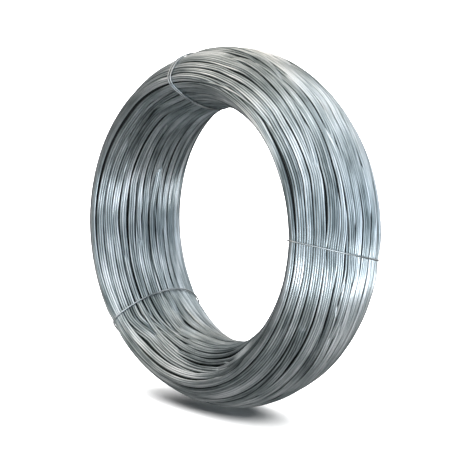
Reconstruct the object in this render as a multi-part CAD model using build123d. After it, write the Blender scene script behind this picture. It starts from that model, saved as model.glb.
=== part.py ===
from build123d import *
import math
import os

# A coil of round galvanized wire, bound with three wire ties and standing on its rim.
# The coil's axis runs along Y at the height of its outer radius, and the floor is Z = 0.
# Angles round the coil are counted from +X towards +Z, seen from the front end at -Y.

# Wire coil, in millimetres
OUTER_DIAMETER = 450.0
BORE_DIAMETER = 290.0
WIDEST_DIAMETER = 369.0  # where the section reaches its full width
COIL_WIDTH = 146.0
END_ROUND = 13.0  # radius at which the turns roll over each end
GROOVE_DEPTH = 2.4  # depth of the gaps between groups of turns
GROOVE_WIDTH = 5.0

# Widths of the groups of turns, relative to each other, from one crest to the next.
# Each quarter runs between the rim's middle, an end's widest point and the bore's middle.
# Its first and last groups are shared with its neighbours, so only half of each lies in it.
RIM_TO_BACK = (1.0, 1.2, 0.85, 1.0, 0.8)
BACK_TO_BORE = (0.8, 0.9, 1.1, 0.85, 1.0)
BORE_TO_FRONT = (1.0, 0.85, 1.2, 0.9, 0.8)
FRONT_TO_RIM = (0.8, 1.0, 0.8, 1.15, 1.0)

# Binding ties, in millimetres and degrees
TIE_DIAMETER = 1.8  # over the corners of its section
TIE_SIDES = 6
TIE_CLEARANCE = 0.4
TIE_ANGLES = {"tie_right": -0.3, "tie_top": 106.0, "tie_left": 222.2}  # in the middle of the bore
TIE_LEANS = {"tie_right": -15.5, "tie_top": 14.0, "tie_left": -3.5}  # how far it runs on towards the back end
TIE_FLARES = {"tie_right": 0.0, "tie_top": 24.0, "tie_left": 20.0}  # how far it runs on from bore to rim
DOUBLE_TIE = "tie_top"  # the tie that is wound twice round the coil
WRAP_GAP = 0.4  # between the two wraps of the double tie, in the bore
WRAP_SPREAD = 3.8  # how much further apart its wraps lie on the rim
TAIL_DIAMETER = 3.4  # over the two twisted ends of a tie
TAIL_LENGTH = 24.0
TAIL_TIP_LENGTH = 1.2  # the stretch over which the tail narrows to its tip
TAIL_TIP_DIAMETER = 1.8
TAIL_OVERLAP = 1.0  # how far the tail reaches past the tie's far side
TAIL_GROUP = 4  # the group of turns at the back end, which the tail lies on

outer_radius = OUTER_DIAMETER / 2
bore_radius = BORE_DIAMETER / 2
widest_radius = WIDEST_DIAMETER / 2
half_width = COIL_WIDTH / 2
axis_height = outer_radius
end_centre = half_width - END_ROUND
tie_radius = TIE_DIAMETER / 2
tail_radius = TAIL_DIAMETER / 2
tie_offset = TIE_CLEARANCE + tie_radius


def side_radius(rise):
    """Radius of a side arc that rises so far from the widest point and meets both end arcs smoothly."""
    return (rise**2 + half_width**2 - 2 * half_width * END_ROUND) / (2 * (rise - END_ROUND))


rim_arc_radius = side_radius(outer_radius - widest_radius)
bore_arc_radius = side_radius(widest_radius - bore_radius)
rim_arc_centre = outer_radius - rim_arc_radius
bore_arc_centre = bore_radius + bore_arc_radius
rim_half_angle = math.degrees(math.atan2(end_centre, widest_radius - rim_arc_centre))
bore_half_angle = math.degrees(math.atan2(end_centre, bore_arc_centre - widest_radius))
end_angle = 180 - rim_half_angle - bore_half_angle


def oval():
    """Smooth outline over the crests of the turns, X outwards and Y along the axis, from the rim's middle."""
    rim_centre = (rim_arc_centre, 0)
    half_rim = CenterArc(rim_centre, rim_arc_radius, 0, rim_half_angle)
    back = CenterArc((widest_radius, end_centre), END_ROUND, rim_half_angle, end_angle)
    bore = CenterArc((bore_arc_centre, 0), bore_arc_radius, 180 - bore_half_angle, 2 * bore_half_angle)
    front = CenterArc((widest_radius, -end_centre), END_ROUND, 180 + bore_half_angle, end_angle)
    other_half_rim = CenterArc(rim_centre, rim_arc_radius, -rim_half_angle, rim_half_angle)
    return Wire([half_rim, back, bore, front, other_half_rim])


def key_lengths(outline):
    """Lengths along the outline at which it passes the back end, the bore's middle and the front end."""
    rim_stretch = rim_arc_radius * math.radians(rim_half_angle)
    back_end = rim_stretch + END_ROUND * math.radians(90 - rim_half_angle)
    return [0.0, back_end, outline.length / 2, outline.length - back_end, outline.length]


def crest_lengths(outline):
    """Lengths along the outline of each group's crest, with the width of the group there."""
    keys = key_lengths(outline)
    quarters = (RIM_TO_BACK, BACK_TO_BORE, BORE_TO_FRONT, FRONT_TO_RIM)
    crests = []
    for widths, start, end in zip(quarters, keys, keys[1:]):
        steps = [(a + b) / 2 for a, b in zip(widths, widths[1:])]
        scale = (end - start) / sum(steps)
        crest = start
        for width, step in zip(widths, steps):
            crests.append((crest, width * scale))
            crest += step * scale
    return crests


def crest_frames():
    """For each group: the middle of its crest, the directions along it and outwards, and its width."""
    outline = oval()
    frames = []
    for length, width in crest_lengths(outline):
        middle = outline.position_at(length, position_mode=PositionMode.LENGTH)
        along = outline.tangent_at(length, position_mode=PositionMode.LENGTH)
        frames.append((middle, along, Vector(along.Y, -along.X, 0), width))
    return frames


def coil_section():
    """Section of the wound coil: a straight crest for each group of turns, and a groove between groups."""
    points = []
    frames = crest_frames()
    for (middle, along, out, width), (next_middle, _, next_out, _) in zip(frames, frames[1:] + frames[:1]):
        half_crest = (width - GROOVE_WIDTH) / 2
        groove = (middle + next_middle) / 2 - (out + next_out).normalized() * GROOVE_DEPTH
        points += [middle - along * half_crest, middle + along * half_crest, groove]
    return make_face(Polyline(*points, close=True))


def wire_coil():
    """The wound turns as one ring turned about the coil's axis."""
    return Pos(0, 0, axis_height) * revolve(coil_section(), Axis.Y, 360)


def tie_corners():
    """Corners of a tie's centre line round the section: straight over each crest, bent over the grooves."""
    frames = crest_frames()
    corners = []
    for (middle, along, out, _), (next_middle, _, next_out, _) in zip(frames, frames[1:] + frames[:1]):
        start = middle + out * tie_offset
        target = next_middle + next_out * tie_offset
        reach = (target - start).dot(next_out) / along.dot(next_out)
        corners.append(start + along * reach)
    return corners


def tie_point(name, wrap, place):
    """Where one wrap of a tie, which lies in a leaning plane, passes over a place of the section."""
    lean = TIE_LEANS[name] / half_width
    flare = (TIE_FLARES[name] - wrap * WRAP_SPREAD) / (outer_radius - bore_radius)
    shift = lean * place.Y - flare * bore_radius - wrap * (TIE_DIAMETER + WRAP_GAP)
    slope = 1 + flare**2
    x = (math.sqrt(slope * place.X**2 - shift**2) - flare * shift) / slope
    return Vector(x, place.Y, shift + flare * x)


def tie_loop(name, wrap):
    """One closed turn of tie wire round the coil's section, near the plane of angle 0."""
    path = Polyline(*[tie_point(name, wrap, corner) for corner in tie_corners()], close=True)
    start = path.edges()[0]
    section = Plane(origin=start @ 0.5, z_dir=start % 0.5) * RegularPolygon(tie_radius, TIE_SIDES)
    return sweep(section, path, transition=Transition.RIGHT)


def tie_tail(name):
    """Twisted ends of a tie, bent down along the turns of the coil's back end."""
    middle, _, out, _ = crest_frames()[TAIL_GROUP]
    foot = middle + out * (TIE_CLEARANCE + tail_radius)
    crossing = tie_point(name, 0, foot)
    start = -tie_radius - TAIL_OVERLAP
    if name == DOUBLE_TIE:
        start -= (crossing - tie_point(name, 1, foot)).length
    section = RegularPolygon(tail_radius, TIE_SIDES)
    end = RegularPolygon(TAIL_TIP_DIAMETER / 2, TIE_SIDES)
    rod_length = TAIL_LENGTH - TAIL_TIP_LENGTH
    rod = extrude(section, rod_length)
    tip = loft([Pos(0, 0, rod_length) * section, Pos(0, 0, TAIL_LENGTH) * end])
    tail = Pos(foot.X, foot.Y, start) * (rod + tip)
    return tail.rotate(Axis.Y, -math.degrees(math.atan2(crossing.Z, crossing.X)))


def tie(name):
    """One tie at its place round the coil, with a second wrap where it has one."""
    body = tie_loop(name, 0)
    if name == DOUBLE_TIE:
        body = body + tie_loop(name, 1)
    body = body + tie_tail(name)
    turned = body.rotate(Axis.Y, -TIE_ANGLES[name])
    return Pos(0, 0, axis_height) * turned


os.makedirs("parts", exist_ok=True)
export_step(wire_coil(), "parts/wire_coil.step")
for tie_name in TIE_ANGLES:
    export_step(tie(tie_name), f"parts/{tie_name}.step")
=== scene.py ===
import math

import bmesh
import bpy
import numpy as np
from mathutils import Matrix, Vector


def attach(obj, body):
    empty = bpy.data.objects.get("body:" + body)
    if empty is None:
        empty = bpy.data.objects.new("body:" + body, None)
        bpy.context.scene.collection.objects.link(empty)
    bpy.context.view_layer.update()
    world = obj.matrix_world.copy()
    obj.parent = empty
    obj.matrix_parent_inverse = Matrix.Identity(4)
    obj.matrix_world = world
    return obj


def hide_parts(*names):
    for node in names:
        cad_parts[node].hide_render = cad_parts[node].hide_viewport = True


# A standing coil of galvanized garden wire, in metres. Its axis runs along Y, and the floor is Z = 0.
# Places on the coil's section are lengths along its outline, from the rim's middle towards the back
# end, the bore and the front end. Angles round the coil are counted from +X towards +Z.

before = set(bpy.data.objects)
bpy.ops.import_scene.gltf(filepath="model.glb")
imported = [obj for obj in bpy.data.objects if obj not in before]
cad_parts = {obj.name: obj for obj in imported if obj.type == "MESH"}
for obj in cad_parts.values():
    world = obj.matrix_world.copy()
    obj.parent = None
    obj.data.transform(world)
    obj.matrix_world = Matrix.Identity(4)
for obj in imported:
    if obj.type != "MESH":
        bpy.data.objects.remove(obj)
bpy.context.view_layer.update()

SEED = 7
MILLIMETRES = 1000  # in a metre

# The coil's section, as the solid has it
OUTER_RADIUS = 0.225
BORE_RADIUS = 0.145
WIDEST_RADIUS = 0.1845
HALF_WIDTH = 0.073
END_ROUND = 0.013
AXIS_HEIGHT = OUTER_RADIUS

BORE_RISE = 0.0035  # how far the bore of the uneven winding lies above the middle

# The wire and its layers. Turns are pressed together, so they lie a little closer than they are thick.
WIRE_DIAMETER = 0.003
TURN_PITCH = 0.00288
DEEP_LAYER_TURNS = 96
DEEP_LAYERS = {"second_layer_turns": 0.0062, "third_layer_turns": 0.0085}  # how deep each one lies
CORE_DEPTH = 0.0105

# How finely the round pieces are made
OUTER_STEPS = 180
OUTER_ROUNDNESS = 2
DEEP_STEPS = 120
DEEP_ROUNDNESS = 0
CORE_STEPS = 96
CORE_SIDES = 48
MERGE_DISTANCE = 1e-6
TIE_STEPS = 120
TAIL_STEPS = 50

# How the turns wander sideways and in depth, in metres, and in how many waves round the coil
TURN_SWAY = 0.0001
TURN_SWAY_WAVES = 6
TURN_UNEVENNESS = 0.0003
TURN_UNEVENNESS_WAVES = 7
DEEP_SWAY = 0.0006
DEEP_SWAY_WAVES = 3
DEEP_UNEVENNESS = 0.0008
DEEP_UNEVENNESS_WAVES = 5

# Where turns are slack they lie in from the outline, but not at the ties and where the coil stands
SLACK_DEPTH = 0.0011
SLACK_MEAN = 0.35
SLACK_SWING = 0.3
SLACK_WAVE_COUNT = 6
FOOT_ANGLE = 14.0  # degrees on each side of the lowest point within which turns bear on the floor
FOOT_HALF_WIDTH = 0.02  # and metres on each side of the rim's middle

# The outer turns lie in ribbons that lap over each other. These are the places in millimetres where
# one ribbon ends and the next begins, before the ribbons stray.
RIBBON_EDGES = (
    9, 24, 38, 50, 62, 76, 90, 104, 118, 132, 143, 155, 167, 178, 190, 199, 209, 219, 229, 239,
    250, 260, 273, 285, 296, 312, 326, 339, 351,
)
RIBBON_ROOM = 0.0005  # left free between ribbons when their turns are counted
RIBBON_SWAY = 0.0014
RIBBON_SWAY_WAVES = 4
RIBBON_CROWN = 0.0013  # how much deeper a ribbon's edges lie than its middle

# How the ribbons make way for a parting
FOLLOWERS = 3  # ribbons on each side of it that move
FOLLOWING_SHARE = 0.45  # how far each moves, as a share of the one before it
PARTING_SCALE = 1.55  # how much wider a gap is below the turns' crests than it looks
PARTING_TAPER = 0.6  # how bluntly it narrows to its ends: less is blunter
PARTING_REACH = 1.6  # half lengths from its middle at which ribbons are quite free again
PARTING_RELEASE = 0.8  # half lengths over which they are set free
STEADINESS = 0.7  # share of a ribbon's sway that a parting takes away

# Places where neighbouring turns part. Each has the angle in degrees and the place in millimetres of
# its middle, half its length in degrees, its opening, and how far it moves on for each degree.
PARTINGS = [
    (181, 132, 42, 3.2, 0.05),
    (146, 165, 44, 3.6, -0.20),
    (172, 168, 34, 2.2, -0.05),
    (150, 188, 34, 2.4, -0.12),
    (212, 193, 32, 2.6, 0.22),
    (215, 200, 27, 1.8, 0.14),
    (143, 222, 22, 3.2, -0.05),
    (176, 216, 58, 2.2, 0.03),
    (161, 236, 24, 2.0, 0.20),
    (212, 240, 21, 2.0, 0.25),
    (160, 258, 78, 3.6, -0.04),
    (-88, 239, 27, 3.2, 0.35),
    (-163, 249, 20, 1.8, 0.0),
    (-92, 262, 26, 2.2, 0.08),
    (-22, 274, 76, 4.0, -0.03),
    (-50, 285, 30, 3.2, -0.10),
    (-40, 296, 46, 3.6, -0.26),
    (-36, 312, 36, 4.2, -0.18),
    (39, 294, 44, 2.4, -0.12),
    (16, 315, 9, 2.2, 0.2),
    (50, 318, 22, 3.8, 0.0),
    (60, 285, 9, 1.8, -0.2),
    (40, 339, 25, 3.4, -0.20),
    (10, 335, 20, 2.2, 0.07),
    (-46, 327, 24, 2.2, 0.0),
    (-36, 339, 20, 2.2, -0.35),
    (8, 9, 16, 2.4, 0.0),
    (20, 27, 9, 2.0, -0.2),
    (66, 12, 14, 2.2, -0.3),
    (-58, 22, 14, 2.4, 0.3),
    (94, 296, 12, 2.4, 0.0),
    (95, 180, 24, 2.2, 0.0),
    (20, 60, 40, 3.0, 0.1),
    (100, 40, 45, 3.2, -0.1),
    (130, 85, 60, 3.0, 0.05),
    (230, 60, 50, 3.4, -0.08),
    (250, 110, 50, 3.0, 0.1),
    (300, 90, 40, 3.0, 0.0),
]

# Groups of turns that cross over the others: how many, the angles in degrees between which they lie
# on top, and the places in millimetres at those angles.
CROSSINGS = [
    (1, 46, 90, 277, 262),
    (2, -116, -66, 231, 251),
    (3, -84, -24, 318, 301),
    (2, 62, 118, 330, 345),
    (3, 28, 84, 309, 318),
    (2, 128, 196, 206, 199),
    (3, 158, 236, 178, 184),
    (2, 100, 150, 243, 236),
    (3, -30, 40, 346, 340),
    (2, 200, 262, 222, 230),
    (4, 70, 150, 20, 32),
    (3, 190, 260, 30, 18),
    (3, 250, 330, 60, 74),
    (2, -40, 40, 90, 82),
    (3, 60, 130, 110, 120),
]
CROSSING_FADE = 19.0  # degrees over which a crossing group dives at each end
CROSSING_DIVE = 0.0065  # how deep it dives
CROSSING_PRESS = 0.0027  # how far it presses the turns below it in
CROSSING_MARGIN = 0.0022  # how far beside it the turns still give way

# The ties: the angle in the middle of the bore, and how far each runs on towards the back end and
# from the bore to the rim
TIE_DIAMETER = 0.0018
TIE_DEPTH = 0.0004  # of the tie's centre line below the outline
TIE_PRESS = 0.0015  # how far it presses the turns in
TIE_PINCH_WIDTH = math.radians(4.0)
TIES = {
    "tie_right": {"angle": math.radians(-0.3), "lean": -0.0155, "flare": 0.0, "wraps": 1},
    "tie_top": {"angle": math.radians(106.0), "lean": 0.014, "flare": 0.024, "wraps": 2},
    "tie_left": {"angle": math.radians(222.2), "lean": -0.0035, "flare": 0.02, "wraps": 1},
}
WRAP_PITCH = 0.0022  # between the wraps of a tie in the bore
WRAP_SPREAD = 0.0038  # how much further apart they lie on the rim
TAIL_LENGTH = 0.023
TAIL_START = -0.0015
TAIL_PITCH = 0.0058  # length of one full twist
TIE_RIBBON = 0.5  # the ties' value of the attribute ribbon, from 0 to 1

# Tones of the zinc, from dull to bright, and its roughness. The deep layers' and the core's tones are
# painted shade: far darker than the outer turns, for the shade deep between them.
COIL_TONES = [(0.13, 0.155, 0.16), (0.36, 0.40, 0.41), (0.68, 0.71, 0.725)]
DEEP_PAINTED_SHADE_TONES = [(0.04, 0.05, 0.05), (0.10, 0.11, 0.11)]
CORE_PAINTED_SHADE_TONES = [(0.02, 0.025, 0.028), (0.05, 0.055, 0.06)]
TIE_TONES = [(0.27, 0.29, 0.29), (0.46, 0.48, 0.49)]
WIRE_ROUGHNESS = 0.3
DEEP_ROUGHNESS = 0.4
CORE_ROUGHNESS = 0.6
DULLED = 0.1  # added to the roughness where the mottle is dark
POLISHED = 0.06  # taken from it where the mottle is light

# The zinc's pattern: long stretches of each ribbon, a tone of each turn's own and a finer mottle
RIBBON_RANGE = 30.0  # within which the ribbons take their places in the stretches' noise
TURN_RANGE = 9.0  # within which the turns take theirs in the mottle's
STRETCH_SCALE = 1.8
STRETCH_DETAIL = 2.0
STRETCH_SHARE = 1.4
TURN_SHARE = 0.2
MOTTLE_SCALE = 24.0
MOTTLE_DETAIL = 3.0
CORE_GRAIN_SCALE = 60.0
DULL_LEVEL = 1.0  # sum of the three at which the zinc is dullest
BRIGHT_LEVEL = 1.6  # and brightest

# The camera, seen from the ring's centre
PHOTO_SIZE = 470
CAMERA_DISTANCE = 2.7
CAMERA_AZIMUTH = math.radians(47.453)
CAMERA_ELEVATION = math.radians(8.041)
CAMERA_YAW = math.radians(0.142)
CAMERA_PITCH = math.radians(0.194)
CAMERA_ROLL = math.radians(-3.6)
FOCAL_PIXELS = 2167.7
SENSOR_WIDTH = 36.0
VIEW_END = 200.0

# The room's soft glows: azimuth from +X towards +Y and elevation in degrees, how narrow each is, and
# its strength and tint. Those below the horizon lie on the table's side of its far edge, and those of
# the far table only in the strip next to that edge.
COOL = (0.85, 1.0, 1.15)
PLAIN = (1.0, 1.0, 1.0)
WARM = (1.2, 1.0, 0.8)
GLOWS = {
    "table_right_back": (15, -22, 10, 4.5, PLAIN),
    "table_right_front": (-15, -22, 10, 4.0, COOL),
    "table_lamp": (0, -20, 40, 5.0, PLAIN),
    "table_front": (-75, -22, 10, 1.5, PLAIN),
    "table_left": (170, -22, 10, 0.7, PLAIN),
    "near_table_right": (0, -55, 10, 1.5, PLAIN),
    "near_table_left": (-150, -60, 6, 0.5, PLAIN),
    "right_wall": (0, 10, 10, 3.2, COOL),
    "front_window": (-90, 10, 8, 2.2, PLAIN),
    "back_window": (120, 10, 10, 1.8, PLAIN),
    "left_wall": (-158, 42, 10, 1.5, PLAIN),
    "left_ceiling": (172, 48, 25, 2.1, WARM),
    "back_lamp": (100, 58, 40, 1.8, PLAIN),
    "ceiling": (0, 72, 10, 1.6, PLAIN),
    "front_ceiling": (-67, 42, 10, 1.4, COOL),
    "front_left_ceiling": (-113, 42, 10, 1.0, WARM),
    "right_ceiling": (0, 42, 8, 1.0, PLAIN),
    "back_ceiling": (68, 42, 10, 0.8, COOL),
}
ROOM_LIGHT = 0.05  # of the room between the glows
TABLE_EDGE = -0.17  # sine of the elevation of the table's far edge, as seen from the coil
TABLE_BLUR = 0.05
STRIP_END = -0.42  # sine of the elevation at which the bright far strip ends
STRIP_BLUR = 0.1
NEAR_TABLE = -30  # glows lower than this elevation, in degrees, lie on the whole table

# The floor's lights: azimuth and elevation in degrees, strength and spread in degrees. Both are so
# bright that only what neither reaches, at the coil's foot, is in shade.
FLOOR_LIGHTS = {
    "overhead_light": (47, 80, 24.0, 100.0),
    "back_light": (148, 30, 12.0, 40.0),
}
FLOOR_COLOUR = (0.4, 0.4, 0.4, 1)
FLOOR_ROUGHNESS = 0.9
FLOOR_SHEEN = 0.1  # its specular level
FLOOR_HALF_SIZE = 60.0

rng = np.random.default_rng(SEED)
wire_radius = WIRE_DIAMETER / 2
tie_radius = TIE_DIAMETER / 2
ring_centre = Vector((0, 0, AXIS_HEIGHT))


def side_radius(rise):
    """Radius of a side arc that rises so far from the widest point and meets both end arcs smoothly."""
    return (rise**2 + HALF_WIDTH**2 - 2 * HALF_WIDTH * END_ROUND) / (2 * (rise - END_ROUND))


def section_arcs():
    """The outline's arcs in order: centre (outwards, along the axis), radius, start angle and sweep."""
    rim_radius = side_radius(OUTER_RADIUS - WIDEST_RADIUS)
    bore_side = side_radius(WIDEST_RADIUS - BORE_RADIUS)
    rim_centre = OUTER_RADIUS - rim_radius
    bore_centre = BORE_RADIUS + bore_side
    end_centre = HALF_WIDTH - END_ROUND
    rim_half = math.atan2(end_centre, WIDEST_RADIUS - rim_centre)
    bore_half = math.atan2(end_centre, bore_centre - WIDEST_RADIUS)
    end_sweep = math.pi - rim_half - bore_half
    return [
        (rim_centre, 0.0, rim_radius, 0.0, rim_half),
        (WIDEST_RADIUS, end_centre, END_ROUND, rim_half, end_sweep),
        (bore_centre, 0.0, bore_side, math.pi - bore_half, 2 * bore_half),
        (WIDEST_RADIUS, -end_centre, END_ROUND, math.pi + bore_half, end_sweep),
        (rim_centre, 0.0, rim_radius, -rim_half, rim_half),
    ]


ARCS = section_arcs()
OUTLINE_LENGTH = sum(radius * sweep for _, _, radius, _, sweep in ARCS)


def on_section(length, depth):
    """Distance from the coil's axis and place along it, so far along the outline and so deep below it."""
    length = np.mod(length, OUTLINE_LENGTH)
    outwards = np.zeros_like(length)
    sideways = np.zeros_like(length)
    start = 0.0
    for centre_out, centre_side, radius, first, sweep in ARCS:
        here = (length >= start) & (length <= start + radius * sweep)
        angle = first + (length - start) / radius
        outwards = np.where(here, centre_out + (radius - depth) * np.cos(angle), outwards)
        sideways = np.where(here, centre_side + (radius - depth) * np.sin(angle), sideways)
        start += radius * sweep
    return outwards, sideways


def round_the_axis(outwards, sideways, angle):
    """Points in space: the bore is raised, and wires stay high enough to lie on the floor."""
    towards_bore = np.clip((WIDEST_RADIUS - outwards) / (WIDEST_RADIUS - BORE_RADIUS), 0, 1)
    outwards = outwards + BORE_RISE * towards_bore * np.sin(angle)
    x = outwards * np.cos(angle)
    z = AXIS_HEIGHT + outwards * np.sin(angle)
    return np.stack([x, sideways, np.maximum(z, wire_radius)], axis=-1)


def degrees_from(angles, middle):
    """Angles in degrees from a middle given in degrees, between -180 and 180."""
    return np.degrees(np.angle(np.exp(1j * (angles - math.radians(middle)))))


def across(places, line):
    """Distance across the turns from a line on the surface, the short way round the outline."""
    return np.mod(places - line + OUTLINE_LENGTH / 2, OUTLINE_LENGTH) - OUTLINE_LENGTH / 2


def eased(share):
    """Smooth step from zero to one."""
    share = np.clip(share, 0, 1)
    return share * share * (3 - 2 * share)


def wander(rows, angles, size, waves):
    """Slow random ups and downs round the coil, one row for each ribbon or turn."""
    total = np.zeros((rows, len(angles)))
    for wave in range(1, waves + 1):
        height = rng.normal(0, size / math.sqrt(waves), rows)[:, None]
        phase = rng.uniform(0, 2 * math.pi, rows)[:, None]
        total = total + height * np.cos(wave * angles + phase)
    return total


def ribbon_layout():
    """Where each ribbon begins, its middle and its number of turns, before it strays."""
    edges = np.array(RIBBON_EDGES) / MILLIMETRES
    ends = np.append(edges[1:], edges[0] + OUTLINE_LENGTH)
    counts = np.round((ends - edges - RIBBON_ROOM) / TURN_PITCH).astype(int)
    return edges, (edges + ends) / 2, counts


def ribbon_middles(angles):
    """Where each ribbon's middle lies at each angle, pushed apart by the partings, and its turns."""
    edges, middles, counts = ribbon_layout()
    shift = np.zeros((len(edges), len(angles)))
    weight = np.zeros_like(shift)
    for angle, place, half_length, opening, drift in PARTINGS:
        away = degrees_from(angles, angle)
        share = np.abs(away) / half_length
        line = (place + drift * away) / MILLIMETRES
        widest = PARTING_SCALE * opening / MILLIMETRES
        opened = widest * np.clip(1 - share**2, 0, None) ** PARTING_TAPER
        held = eased((PARTING_REACH - share) / PARTING_RELEASE)
        edge = int(np.argmin(np.abs(across(edges, place / MILLIMETRES))))
        for side, beside in ((-1, edge - 1), (1, edge)):
            half_width = counts[beside] * TURN_PITCH / 2
            wanted = across(line + side * (opened / 2 + half_width), middles[beside])
            for step in range(FOLLOWERS):
                ribbon = (beside + side * step) % len(edges)
                share_here = held * FOLLOWING_SHARE**step
                shift[ribbon] += share_here * wanted
                weight[ribbon] += share_here
    sway = wander(len(edges), angles, RIBBON_SWAY, RIBBON_SWAY_WAVES)
    sway = sway * (1 - STEADINESS * np.minimum(weight, 1))
    return middles[:, None] + shift / np.maximum(weight, 1) + sway, counts


def dip_under(distance):
    """How far a turn dips to pass under another, at a sideways distance between their centre lines."""
    beside = np.clip(distance, 0, WIRE_DIAMETER)
    return np.sqrt(WIRE_DIAMETER**2 - beside**2)


def outer_ribbons(angles):
    """Places and depths of the outer turns, ribbon by ribbon. Of two that meet, one laps over the other."""
    middles, counts = ribbon_middles(angles)
    rank = rng.permutation(len(counts))
    half_spans = (counts[:, None] - 1) / 2 * TURN_PITCH
    firsts, lasts = middles - half_spans, middles + half_spans
    ribbons = []
    for ribbon, count in enumerate(counts):
        before = ribbon - 1
        after = (ribbon + 1) % len(counts)
        steps = np.arange(count) - (count - 1) / 2
        places = middles[ribbon] + steps[:, None] * TURN_PITCH
        places = places + wander(count, angles, TURN_SWAY, TURN_SWAY_WAVES)
        crown = RIBBON_CROWN * np.abs(2 * steps[:, None] / count) ** 3
        depths = crown + np.abs(wander(count, angles, TURN_UNEVENNESS, TURN_UNEVENNESS_WAVES))
        if rank[before] > rank[ribbon]:
            depths = depths + dip_under(across(places, lasts[before]))
        if rank[after] > rank[ribbon]:
            depths = depths + dip_under(across(firsts[after], places))
        ribbons.append((places, depths + outer_depth(angles, places)))
    return ribbons


def crossing_line(angles, crossing):
    """Place along the outline of a crossing group's middle, and how far it is on top."""
    _, first, last, first_place, last_place = crossing
    middle, half = (first + last) / 2, (last - first) / 2
    away = degrees_from(angles, middle)
    sway = (last_place - first_place) / 2 / math.sin(math.radians(half))
    line = ((first_place + last_place) / 2 + sway * np.sin(np.radians(away))) / MILLIMETRES
    return line, eased((half - np.abs(away)) / CROSSING_FADE + 0.5)


def pressed_in(angles, places):
    """How far the crossing groups press in the turns that lie below them."""
    press = np.zeros_like(places)
    for crossing in CROSSINGS:
        count = crossing[0]
        line, on_top = crossing_line(angles, crossing)
        beyond = np.abs(across(places, line)) - count * wire_radius
        press = np.maximum(press, on_top * eased(1 - beyond / CROSSING_MARGIN))
    return CROSSING_PRESS * press


def tie_angle(tie, wrap, outwards, sideways):
    """Angle at which one wrap of a tie passes over places of the section. It lies in a leaning plane."""
    lean = tie["lean"] / HALF_WIDTH
    flare = (tie["flare"] - wrap * WRAP_SPREAD) / (OUTER_RADIUS - BORE_RADIUS)
    shift = lean * sideways - flare * BORE_RADIUS - wrap * WRAP_PITCH
    slope = 1 + flare**2
    near = (np.sqrt(slope * outwards**2 - shift**2) - flare * shift) / slope
    return tie["angle"] + np.arctan2(shift + flare * near, near)


def tie_pinch(angles, places):
    """One where the ties pass over the turns, and zero away from them."""
    pinch = np.zeros_like(places)
    for tie in TIES.values():
        away = angles - tie_angle(tie, 0, *on_section(places, 0.0))
        away = np.angle(np.exp(1j * away))
        pinch = np.maximum(pinch, np.exp(-((away / TIE_PINCH_WIDTH) ** 2)))
    return pinch


# Each wave of the slack: how often it rises across the turns and round the coil, its phase and its size
SLACK_WAVES = [
    (rng.integers(2, 10), rng.integers(-3, 4), rng.uniform(0, 2 * math.pi), rng.uniform(0.5, 1.0))
    for _ in range(SLACK_WAVE_COUNT)
]


def outer_depth(angles, places):
    """How deep the outer turns lie: deeper under crossings and ties and where they are slack."""
    slack = np.zeros_like(places)
    for count_across, count_around, phase, size in SLACK_WAVES:
        turned = count_across * 2 * math.pi * places / OUTLINE_LENGTH + count_around * angles + phase
        slack = slack + size * np.sin(turned)
    slack = SLACK_DEPTH * np.clip(SLACK_MEAN + SLACK_SWING * slack, 0, 1)
    from_foot = degrees_from(angles, -90) / FOOT_ANGLE
    at_foot = np.exp(-(from_foot**2) - (across(places, 0) / FOOT_HALF_WIDTH) ** 4)
    pinch = tie_pinch(angles, places)
    held = np.maximum(pinch, at_foot)
    return wire_radius + slack * (1 - held) + TIE_PRESS * pinch + pressed_in(angles, places)


def strands_mesh(name, groups, angles, roundness):
    """Joined mesh of round turns, from groups of turns that each have their places and depths."""
    curve = wire_curve(name, wire_radius, roundness)
    ribbons = []
    for places, depths in groups:
        number = rng.uniform(0, 1)
        for place, depth in zip(places, depths):
            outwards, sideways = on_section(place, depth)
            add_spline(curve, round_the_axis(outwards, sideways, angles), closed=True)
            ribbons.append(number)
    return curve_to_piece(name, curve, ribbons)


def wire_curve(name, radius, roundness):
    """Empty curve whose splines become round wires."""
    curve = bpy.data.curves.new(name, "CURVE")
    curve.dimensions = "3D"
    curve.bevel_depth = radius
    curve.bevel_resolution = roundness
    curve.use_fill_caps = True
    return curve


def add_spline(curve, points, closed):
    """One straight-sided spline through the points."""
    spline = curve.splines.new("POLY")
    spline.points.add(len(points) - 1)
    spline.points.foreach_set("co", np.c_[points, np.ones(len(points))].ravel())
    spline.use_cyclic_u = closed
    spline.use_smooth = True


def curve_to_piece(name, curve, ribbons):
    """Mesh object made of a curve with a round section.

    Its attribute ribbon is a number for each ribbon, turn a number for each strand, and winding says
    where round the coil a point is, as the cosine and sine of its angle."""
    rig = bpy.data.objects.new(name + "_path", curve)
    bpy.context.scene.collection.objects.link(rig)
    mesh = bpy.data.meshes.new_from_object(rig.evaluated_get(bpy.context.evaluated_depsgraph_get()))
    counts = np.array([len(spline.points) for spline in curve.splines])
    bpy.data.objects.remove(rig)
    mesh.name = name
    piece = bpy.data.objects.new(name, mesh)
    bpy.context.scene.collection.objects.link(piece)
    sides = len(mesh.vertices) // counts.sum()
    for label, numbers in (("ribbon", np.array(ribbons)), ("turn", rng.uniform(0, 1, len(counts)))):
        attribute = mesh.attributes.new(label, "FLOAT", "POINT")
        values = np.resize(np.repeat(numbers, counts * sides), len(mesh.vertices))
        attribute.data.foreach_set("value", values.astype(np.float32))
    points = np.empty(len(mesh.vertices) * 3, dtype=np.float32)
    mesh.vertices.foreach_get("co", points)
    x, _, z = points.reshape(-1, 3).T
    radius = np.hypot(x, z - AXIS_HEIGHT)
    winding = np.stack([x / radius, (z - AXIS_HEIGHT) / radius, np.zeros_like(x)], axis=-1)
    attribute = mesh.attributes.new("winding", "FLOAT_VECTOR", "POINT")
    attribute.data.foreach_set("vector", winding.astype(np.float32).ravel())
    return piece


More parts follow.
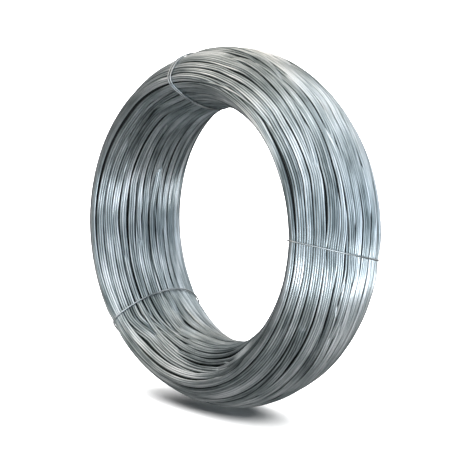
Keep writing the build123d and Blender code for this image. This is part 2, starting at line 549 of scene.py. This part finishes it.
def coil_turns():
    """The outer turns on the rim, the ends and the bore, and the groups of turns that cross them."""
    angles = np.linspace(0, 2 * math.pi, OUTER_STEPS, endpoint=False)
    ribbons = outer_ribbons(angles)
    quarters = ("back_rim_turns", "back_bore_turns", "front_bore_turns", "front_rim_turns")
    ends = [round(number * len(ribbons) / len(quarters)) for number in range(len(quarters) + 1)]
    pieces = []
    for name, first, last in zip(quarters, ends, ends[1:]):
        pieces.append(strands_mesh(name, ribbons[first:last], angles, OUTER_ROUNDNESS))
    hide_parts("wire_coil")
    return [*pieces, crossing_turns(angles)]


def crossing_turns(angles):
    """The groups of turns that lie over the outer layer for part of the way round, and dive into it."""
    groups = []
    for crossing in CROSSINGS:
        count = crossing[0]
        line, on_top = crossing_line(angles, crossing)
        steps = np.arange(count) - (count - 1) / 2
        places = line + steps[:, None] * TURN_PITCH
        depths = wire_radius + (1 - on_top) * CROSSING_DIVE + TIE_PRESS * tie_pinch(angles, places)
        unevenness = np.abs(wander(count, angles, TURN_UNEVENNESS, TURN_UNEVENNESS_WAVES))
        groups.append((places, depths + unevenness))
    return strands_mesh("crossing_turns", groups, angles, OUTER_ROUNDNESS)


def deep_turns():
    """The two layers of turns that show in the gaps between the outer ones."""
    angles = np.linspace(0, 2 * math.pi, DEEP_STEPS, endpoint=False)
    even = np.arange(DEEP_LAYER_TURNS)[:, None] * OUTLINE_LENGTH / DEEP_LAYER_TURNS
    pieces = []
    for name, depth in DEEP_LAYERS.items():
        places = even + wander(DEEP_LAYER_TURNS, angles, DEEP_SWAY, DEEP_SWAY_WAVES)
        unevenness = np.abs(wander(DEEP_LAYER_TURNS, angles, DEEP_UNEVENNESS, DEEP_UNEVENNESS_WAVES))
        pieces.append(strands_mesh(name, [(places, depth + unevenness)], angles, DEEP_ROUNDNESS))
    return pieces


def core_ring():
    """Plain ring deep under the turns, which closes the view between them. It is coloured near black as
    painted shade.
    """
    mesh = bmesh.new()
    lengths = np.linspace(0, OUTLINE_LENGTH, CORE_SIDES, endpoint=False)
    outwards, sideways = on_section(lengths, CORE_DEPTH)
    corners = [mesh.verts.new((x, y, AXIS_HEIGHT)) for x, y in zip(outwards, sideways)]
    edges = [mesh.edges.new((a, b)) for a, b in zip(corners, corners[1:] + corners[:1])]
    bmesh.ops.spin(
        mesh, geom=corners + edges, cent=ring_centre, axis=(0, 1, 0), angle=2 * math.pi,
        steps=CORE_STEPS, use_merge=True, use_duplicate=False,
    )
    bmesh.ops.remove_doubles(mesh, verts=mesh.verts, dist=MERGE_DISTANCE)
    bmesh.ops.recalc_face_normals(mesh, faces=mesh.faces)
    return finished("core", mesh)


def finished(name, mesh):
    """Smooth-shaded object of a mesh under construction."""
    data = bpy.data.meshes.new(name)
    mesh.to_mesh(data)
    mesh.free()
    data.shade_smooth()
    piece = bpy.data.objects.new(name, data)
    bpy.context.scene.collection.objects.link(piece)
    return piece


def twisted_tail(curve, tie):
    """The two ends of a tie, twisted together and bent down along the turns of the back end."""
    rim_arc, back_arc = ARCS[:2]
    back_end = rim_arc[2] * rim_arc[4] + back_arc[2] * (math.pi / 2 - back_arc[3])
    outwards, sideways = on_section(np.array([back_end]), TIE_DEPTH - TIE_DIAMETER)
    foot = Vector(round_the_axis(outwards, sideways, tie_angle(tie, 0, outwards, sideways))[0])
    radial = Vector((foot.x, 0, foot.z - AXIS_HEIGHT)).normalized()
    onwards = Vector((0, -1, 0)).cross(radial)
    back = Vector((0, 1, 0))
    start = TAIL_START - (WRAP_PITCH + WRAP_SPREAD) * (tie["wraps"] - 1)
    along = np.linspace(start, start + TAIL_LENGTH, TAIL_STEPS)
    for strand in (0, math.pi):
        turned = 2 * math.pi * along / TAIL_PITCH + strand
        points = [
            foot + onwards * step + (radial * math.cos(turn) + back * math.sin(turn)) * tie_radius
            for step, turn in zip(along, turned)
        ]
        add_spline(curve, np.array(points), closed=False)


def tie_wire(name, tie):
    """A tie wound round the section, straight over the gaps between the turns."""
    curve = wire_curve(name, tie_radius, OUTER_ROUNDNESS)
    lengths = np.linspace(0, OUTLINE_LENGTH, TIE_STEPS, endpoint=False)
    outwards, sideways = on_section(lengths, TIE_DEPTH)
    for wrap in range(tie["wraps"]):
        angles = tie_angle(tie, wrap, outwards, sideways)
        add_spline(curve, round_the_axis(outwards, sideways, angles), closed=True)
    twisted_tail(curve, tie)
    piece = curve_to_piece(name + "_wire", curve, [TIE_RIBBON] * len(curve.splines))
    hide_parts(name)
    return piece


def new_material(name):
    """Empty material, with its shader and a function that adds a node with its settings."""
    material = bpy.data.materials.new(name)
    material.use_nodes = True
    nodes = material.node_tree.nodes

    def add(kind, settings=None, inputs=None):
        node = nodes.new("ShaderNode" + kind)
        for key, value in (settings or {}).items():
            setattr(node, key, value)
        for key, value in (inputs or {}).items():
            if isinstance(value, bpy.types.NodeSocket):
                material.node_tree.links.new(value, node.inputs[key])
            else:
                node.inputs[key].default_value = value
        return node

    return material, nodes["Principled BSDF"], add


def toned(add, level, tones):
    """Colour that runs evenly through the tones as a level rises from zero to one."""
    ramp = add("ValToRGB", {}, {"Fac": level})
    ramp.color_ramp.elements[0].color = (*tones[0], 1)
    ramp.color_ramp.elements[1].color = (*tones[-1], 1)
    for number, colour in enumerate(tones[1:-1], 1):
        ramp.color_ramp.elements.new(number / (len(tones) - 1)).color = (*colour, 1)
    return ramp.outputs["Color"]


def zinc(name, tones, roughness):
    """Zinc-coated wire: ribbons and turns differ in tone, with dull and bright stretches along them."""
    material, shader, add = new_material(name)
    ribbon = add("Attribute", {"attribute_name": "ribbon"}).outputs["Fac"]
    turn = add("Attribute", {"attribute_name": "turn"}).outputs["Fac"]
    winding = add("Attribute", {"attribute_name": "winding"}).outputs["Vector"]
    place = add("TexCoord").outputs["Object"]
    ribbon_seed = add("Math", {"operation": "MULTIPLY"}, {0: ribbon, 1: RIBBON_RANGE}).outputs[0]
    turn_seed = add("Math", {"operation": "MULTIPLY"}, {0: turn, 1: TURN_RANGE}).outputs[0]
    stretches = add("TexNoise", {"noise_dimensions": "4D"}, {
        "Vector": winding, "W": ribbon_seed, "Scale": STRETCH_SCALE, "Detail": STRETCH_DETAIL,
    }).outputs["Fac"]
    mottle = add("TexNoise", {"noise_dimensions": "4D"}, {
        "Vector": place, "W": turn_seed, "Scale": MOTTLE_SCALE, "Detail": MOTTLE_DETAIL,
    }).outputs["Fac"]
    own = add("Math", {"operation": "MULTIPLY_ADD"}, {0: turn, 1: TURN_SHARE, 2: mottle})
    tone = add("Math", {"operation": "MULTIPLY_ADD"}, {0: stretches, 1: STRETCH_SHARE, 2: own.outputs[0]})
    level = add("MapRange", {}, {
        "Value": tone.outputs[0], "From Min": DULL_LEVEL, "From Max": BRIGHT_LEVEL,
    })
    colour = toned(add, level.outputs["Result"], tones)
    material.node_tree.links.new(colour, shader.inputs["Base Color"])
    gloss = add("MapRange", {}, {
        "Value": mottle, "To Min": roughness + DULLED, "To Max": roughness - POLISHED,
    })
    material.node_tree.links.new(gloss.outputs["Result"], shader.inputs["Roughness"])
    shader.inputs["Metallic"].default_value = 1.0
    return material


def shaded_zinc():
    """The core's rough zinc, coloured near black as painted shade; it only shows deep between the turns."""
    material, shader, add = new_material("shaded_zinc")
    place = add("TexCoord").outputs["Object"]
    grain = add("TexNoise", {}, {"Vector": place, "Scale": CORE_GRAIN_SCALE}).outputs["Fac"]
    material.node_tree.links.new(toned(add, grain, CORE_PAINTED_SHADE_TONES), shader.inputs["Base Color"])
    shader.inputs["Metallic"].default_value = 1.0
    shader.inputs["Roughness"].default_value = CORE_ROUGHNESS
    return material


def pale_floor():
    """Plain pale floor. The wire doesn't mirror it, but the table and room that the world holds."""
    mesh = bmesh.new()
    bmesh.ops.create_grid(mesh, x_segments=1, y_segments=1, size=FLOOR_HALF_SIZE)
    floor = finished("floor", mesh)
    material, shader, _ = new_material("white_floor")
    shader.inputs["Base Color"].default_value = FLOOR_COLOUR
    shader.inputs["Roughness"].default_value = FLOOR_ROUGHNESS
    shader.inputs["Specular IOR Level"].default_value = FLOOR_SHEEN
    floor.data.materials.append(material)
    floor.visible_glossy = False
    floor.visible_shadow = False


def photo_camera():
    """Camera at the photograph's place, turned to its frame."""
    camera_data = bpy.data.cameras.new("camera")
    camera = bpy.data.objects.new("camera", camera_data)
    bpy.context.scene.collection.objects.link(camera)
    bpy.context.scene.camera = camera
    camera_data.sensor_width = SENSOR_WIDTH
    camera_data.lens = FOCAL_PIXELS / PHOTO_SIZE * SENSOR_WIDTH
    camera_data.clip_end = VIEW_END
    back = Vector((
        math.sin(CAMERA_AZIMUTH) * math.cos(CAMERA_ELEVATION),
        -math.cos(CAMERA_AZIMUTH) * math.cos(CAMERA_ELEVATION),
        math.sin(CAMERA_ELEVATION),
    ))
    right = Vector((0, 0, 1)).cross(back).normalized()
    up = back.cross(right)
    aimed = Matrix((right, up, back))
    turn = (
        Matrix.Rotation(CAMERA_ROLL, 3, "Z")
        @ Matrix.Rotation(CAMERA_PITCH, 3, "X")
        @ Matrix.Rotation(CAMERA_YAW, 3, "Y")
    )
    place = Matrix.Translation(ring_centre + back * CAMERA_DISTANCE)
    camera.matrix_world = place @ (turn @ aimed).transposed().to_4x4()


def direction(azimuth, elevation):
    """Unit vector at an azimuth from +X towards +Y and an elevation, in degrees."""
    azimuth, elevation = math.radians(azimuth), math.radians(elevation)
    level = math.cos(elevation)
    return (level * math.cos(azimuth), level * math.sin(azimuth), math.sin(elevation))


def white_room():
    """The room that the wire mirrors: soft glows around it, and below the horizon a pale table's."""
    world = bpy.data.worlds.new("white_room")
    world.use_nodes = True
    nodes, links = world.node_tree.nodes, world.node_tree.links

    def add(kind, operation, *inputs):
        node = nodes.new(kind)
        if operation:
            node.operation = operation
        for key, value in enumerate(inputs):
            if isinstance(value, bpy.types.NodeSocket):
                links.new(value, node.inputs[key])
            else:
                node.inputs[key].default_value = value
        return node

    view = nodes.new("ShaderNodeTexCoord").outputs["Generated"]
    height = add("ShaderNodeSeparateXYZ", None, view).outputs["Z"]
    below = add("ShaderNodeMapRange", None, height, TABLE_EDGE, TABLE_EDGE - TABLE_BLUR).outputs[0]
    above = add("ShaderNodeMath", "SUBTRACT", 1.0, below).outputs[0]
    far = add("ShaderNodeMapRange", None, height, STRIP_END - STRIP_BLUR, STRIP_END).outputs[0]
    strip = add("ShaderNodeMath", "MULTIPLY", below, far).outputs[0]
    total = (ROOM_LIGHT, ROOM_LIGHT, ROOM_LIGHT)
    for azimuth, elevation, spread, strength, tint in GLOWS.values():
        facing = add("ShaderNodeVectorMath", "DOT_PRODUCT", view, direction(azimuth, elevation))
        facing = add("ShaderNodeMath", "MAXIMUM", facing.outputs["Value"], 0.0)
        glow = add("ShaderNodeMath", "POWER", facing.outputs[0], spread)
        if elevation > 0:
            part = above
        elif elevation > NEAR_TABLE:
            part = strip
        else:
            part = below
        glow = add("ShaderNodeMath", "MULTIPLY", glow.outputs[0], part)
        coloured = add("ShaderNodeVectorMath", "SCALE", Vector(tint) * strength)
        links.new(glow.outputs[0], coloured.inputs["Scale"])
        total = add("ShaderNodeVectorMath", "ADD", coloured.outputs[0], total).outputs[0]
    links.new(total, nodes["Background"].inputs["Color"])
    bpy.context.scene.world = world
    bpy.context.scene.view_settings.view_transform = "Standard"


def floor_lights():
    """Wide soft lights for the floor. The wire doesn't mirror them, and the room's glows don't light it."""
    for name, (azimuth, elevation, strength, spread) in FLOOR_LIGHTS.items():
        data = bpy.data.lights.new(name, "SUN")
        data.energy = strength
        data.angle = math.radians(spread)
        lamp = bpy.data.objects.new(name, data)
        towards = Vector(direction(azimuth, elevation))
        lamp.rotation_euler = towards.to_track_quat("Z", "Y").to_euler()
        lamp.visible_glossy = False
        bpy.context.scene.collection.objects.link(lamp)
    bpy.context.scene.world.cycles_visibility.diffuse = False


def dressed(pieces, material):
    """Gives pieces their material and body."""
    for piece in pieces:
        piece.data.materials.clear()
        piece.data.materials.append(material)
        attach(piece, "root")


photo_camera()
dressed(coil_turns(), zinc("galvanized_wire", COIL_TONES, WIRE_ROUGHNESS))
# The deep layers get a darker copy of the zinc: painted shade between the outer turns.
dressed(deep_turns(), zinc("shaded_wire", DEEP_PAINTED_SHADE_TONES, DEEP_ROUGHNESS))
# The core gets near-black zinc: painted shade deep under the turns.
dressed([core_ring()], shaded_zinc())
ties = [tie_wire(name, tie) for name, tie in TIES.items()]
dressed(ties, zinc("tie_wire", TIE_TONES, WIRE_ROUGHNESS))
pale_floor()
white_room()
floor_lights()
